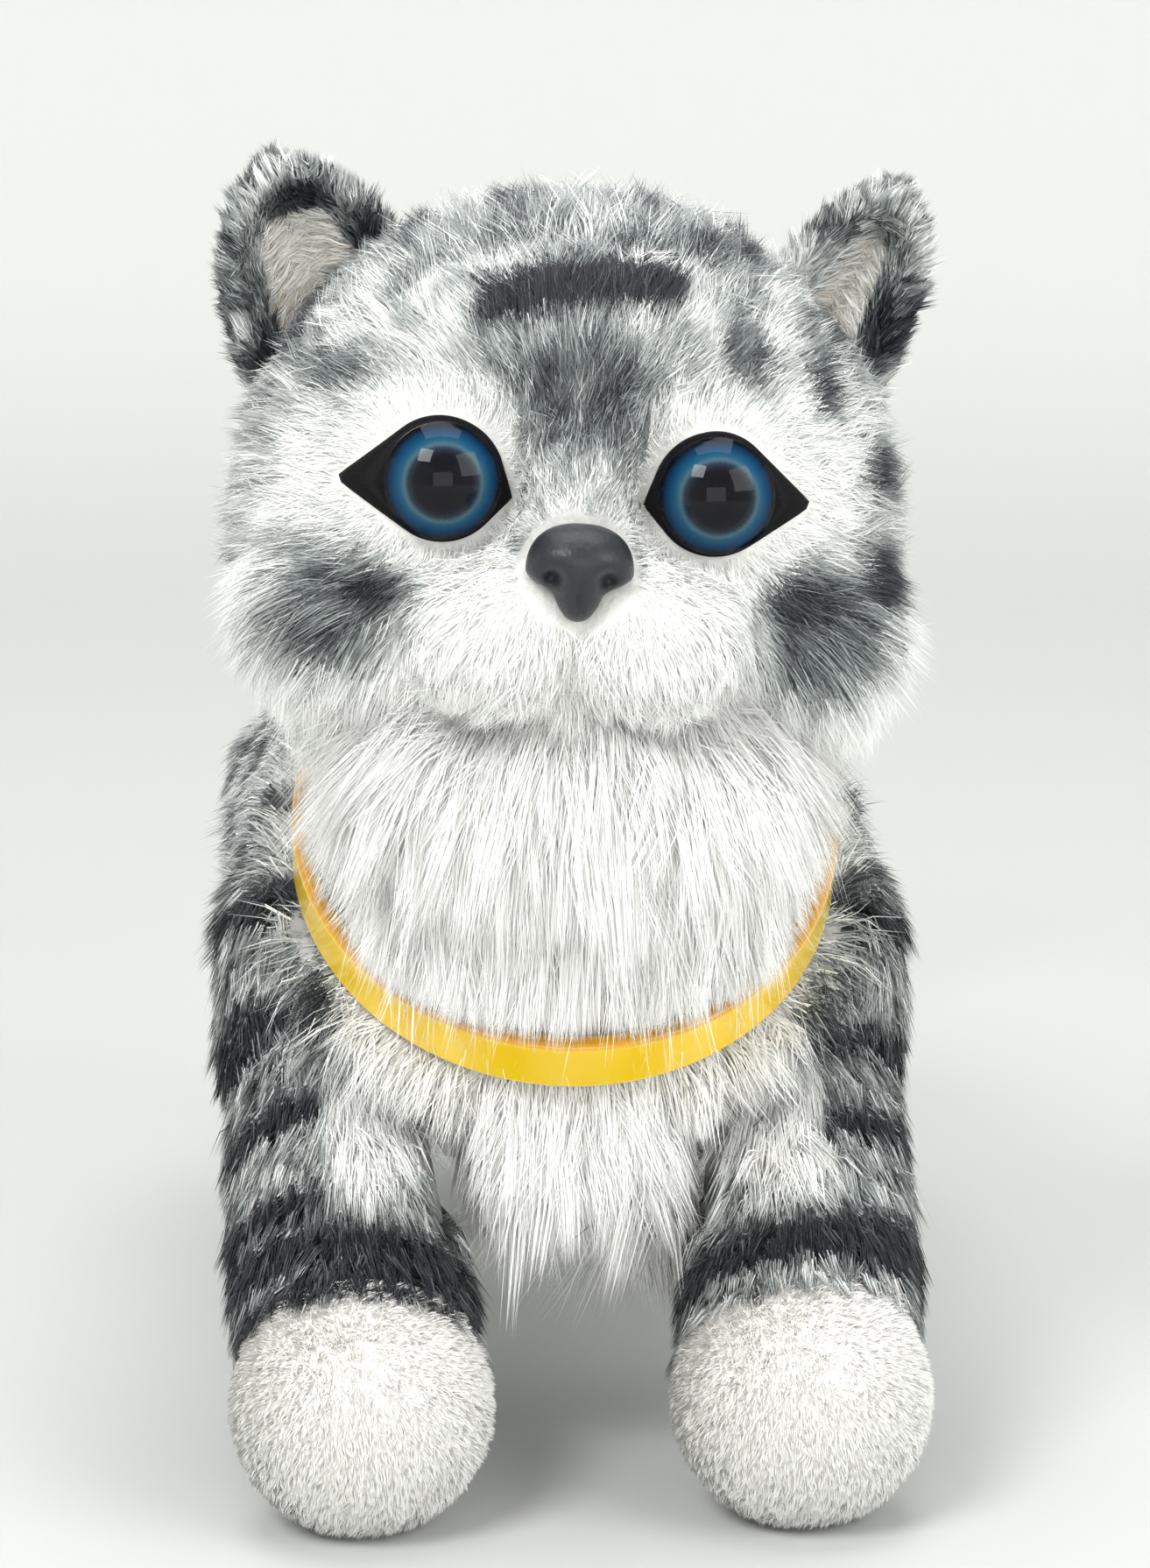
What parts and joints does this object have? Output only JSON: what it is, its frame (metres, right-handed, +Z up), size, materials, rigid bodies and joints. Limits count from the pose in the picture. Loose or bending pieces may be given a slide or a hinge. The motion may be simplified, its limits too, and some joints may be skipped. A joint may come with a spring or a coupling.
{
  "type": "interactive plush pet",
  "caption": "Battery-driven plush tabby kitten with blue eyes and a yellow collar, standing with its forelegs forward.",
  "frame": {"origin": "on the floor under the middle of the toy's box", "axes": "+Z up, the kitten's nose towards -Y; the nodes named left are on the left of a viewer who faces it"},
  "size_m": [0.108, 0.285, 0.1906],
  "materials": {
    "white_shell": "moulded ABS, fine texture",
    "black_shell": "moulded ABS",
    "gear_plastic": "natural acetal",
    "lever_plastic": "grey acetal",
    "steel": "drawn bar",
    "screw_steel": "zinc plated",
    "motor_can": "pressed can",
    "cell_wrap": "printed-free sleeve",
    "contact_metal": "nickel plated",
    "board": "solder mask",
    "speaker_metal": "pressed frame",
    "copper": "foil",
    "eye_black": "polished",
    "eye_clear": "clear dome over a painted iris",
    "eye_felt": "black felt",
    "nose_plastic": "satin moulded",
    "tabby_plush": "long-pile plush, grey and black tabby over white",
    "collar_yellow": "moulded, polished"
  },
  "bodies": {
    "body": {"lower_shell": "white_shell", "upper_shell": "white_shell", "shell_screws": "screw_steel", "gearbox_left": "white_shell", "gearbox_right": "white_shell", "gearbox_posts": "screw_steel", "motor": "motor_can", "gear_shafts": "steel", "battery_tray": "white_shell", "battery_cells": "cell_wrap", "battery_contacts": "contact_metal", "switch_housing": "black_shell", "speaker": "speaker_metal", "circuit_board": "board", "touch_pad": "copper", "body_cover": "tabby_plush", "neck_post": "white_shell", "neck_screw": "screw_steel", "tail_bracket": "white_shell", "tail_pin": "steel"},
    "crank": {"crankshaft": "steel", "crank_gear": "gear_plastic", "left_crank": "gear_plastic", "right_crank": "gear_plastic"},
    "second_stage": {"second_gear": "gear_plastic"},
    "first_stage": {"first_gear": "gear_plastic"},
    "motor_rotor": {"motor_shaft": "steel", "motor_pinion": "gear_plastic"},
    "head": {"face_shell": "white_shell", "rear_head_shell": "white_shell", "left_eye_cup": "eye_black", "right_eye_cup": "eye_black", "left_eye_lens": "eye_clear", "right_eye_lens": "eye_clear", "left_eye_surround": "eye_felt", "right_eye_surround": "eye_felt", "nose": "nose_plastic", "lock_washers": "screw_steel", "head_cover": "tabby_plush", "left_ear": "tabby_plush", "right_ear": "tabby_plush"},
    "collar_ring": {"collar": "collar_yellow"},
    "tail": {"tail_core": "lever_plastic", "tail_cover": "tabby_plush"},
    "switch_knob": {"switch_slider": "black_shell"},
    "battery_door": {"battery_cover": "white_shell", "cover_screw": "screw_steel"},
    "left_front_leg": {"left_front_lever": "lever_plastic", "left_front_leg_core": "lever_plastic", "left_front_leg_cover": "tabby_plush"},
    "left_hind_leg": {"left_hind_lever": "lever_plastic", "left_hind_leg_core": "lever_plastic", "left_hind_leg_cover": "tabby_plush"},
    "right_front_leg": {"right_front_lever": "lever_plastic", "right_front_leg_core": "lever_plastic", "right_front_leg_cover": "tabby_plush"},
    "right_hind_leg": {"right_hind_lever": "lever_plastic", "right_hind_leg_core": "lever_plastic", "right_hind_leg_cover": "tabby_plush"}
  },
  "joints": [
    {"name": "left_front_swing", "type": "hinge", "parent": "body", "child": "left_front_leg", "pos_m": [-0.028, -0.061, 0.066], "axis": [1, 0, 0], "range_deg": [-7.5, 7.5]},
    {"name": "right_front_swing", "type": "hinge", "parent": "body", "child": "right_front_leg", "pos_m": [0.028, -0.061, 0.066], "axis": [1, 0, 0], "range_deg": [-7.5, 7.5]},
    {"name": "left_hind_swing", "type": "hinge", "parent": "body", "child": "left_hind_leg", "pos_m": [-0.028, 0.051, 0.066], "axis": [1, 0, 0], "range_deg": [-7.5, 7.5]},
    {"name": "right_hind_swing", "type": "hinge", "parent": "body", "child": "right_hind_leg", "pos_m": [0.028, 0.051, 0.066], "axis": [1, 0, 0], "range_deg": [-7.5, 7.5]},
    {"name": "crank_turn", "type": "hinge", "parent": "body", "child": "crank", "pos_m": [0, -0.005, 0.066], "axis": [1, 0, 0], "range_deg": [-60.5, 60.5]},
    {"name": "second_gear_turn", "type": "hinge", "parent": "body", "child": "second_stage", "pos_m": [0, 0.0019, 0.07795], "axis": [1, 0, 0], "range_deg": [-218, 218]},
    {"name": "first_gear_turn", "type": "hinge", "parent": "body", "child": "first_stage", "pos_m": [0, 0.0157, 0.07795], "axis": [1, 0, 0], "range_deg": [-785, 785]},
    {"name": "motor_turn", "type": "hinge", "parent": "body", "child": "motor_rotor", "pos_m": [0, 0.02929, 0.07555], "axis": [1, 0, 0], "range_deg": [-2826, 2826]},
    {"name": "head_tilt", "type": "hinge", "parent": "body", "child": "head", "pos_m": [0, -0.067, 0.1155], "axis": [0, 1, 0], "range_deg": [-8, 8]},
    {"name": "tail_wag", "type": "hinge", "parent": "body", "child": "tail", "pos_m": [0, 0.08, 0.084], "axis": [0, 0, 1], "range_deg": [-18, 18]},
    {"name": "collar_lift", "type": "hinge", "parent": "body", "child": "collar_ring", "pos_m": [0, -0.0351, 0.1169], "axis": [-1, 0, 0], "range_deg": [0, 10]},
    {"name": "switch_slide", "type": "slide", "parent": "body", "child": "switch_knob", "axis": [1, 0, 0], "range_m": [0, 0.003]},
    {"name": "battery_door_lift", "type": "slide", "parent": "body", "child": "battery_door", "axis": [0, 0, -1], "range_m": [0, 0.008]}
  ],
  "couplings": [
    {"joint": "right_front_swing", "follows": "left_front_swing", "ratio": -1},
    {"joint": "left_hind_swing", "follows": "left_front_swing", "ratio": -1},
    {"joint": "right_hind_swing", "follows": "left_front_swing", "ratio": 1},
    {"joint": "crank_turn", "follows": "left_front_swing", "ratio": 8},
    {"joint": "second_gear_turn", "follows": "left_front_swing", "ratio": -28.8},
    {"joint": "first_gear_turn", "follows": "left_front_swing", "ratio": 103.68},
    {"joint": "motor_turn", "follows": "left_front_swing", "ratio": -373.25}
  ]
}
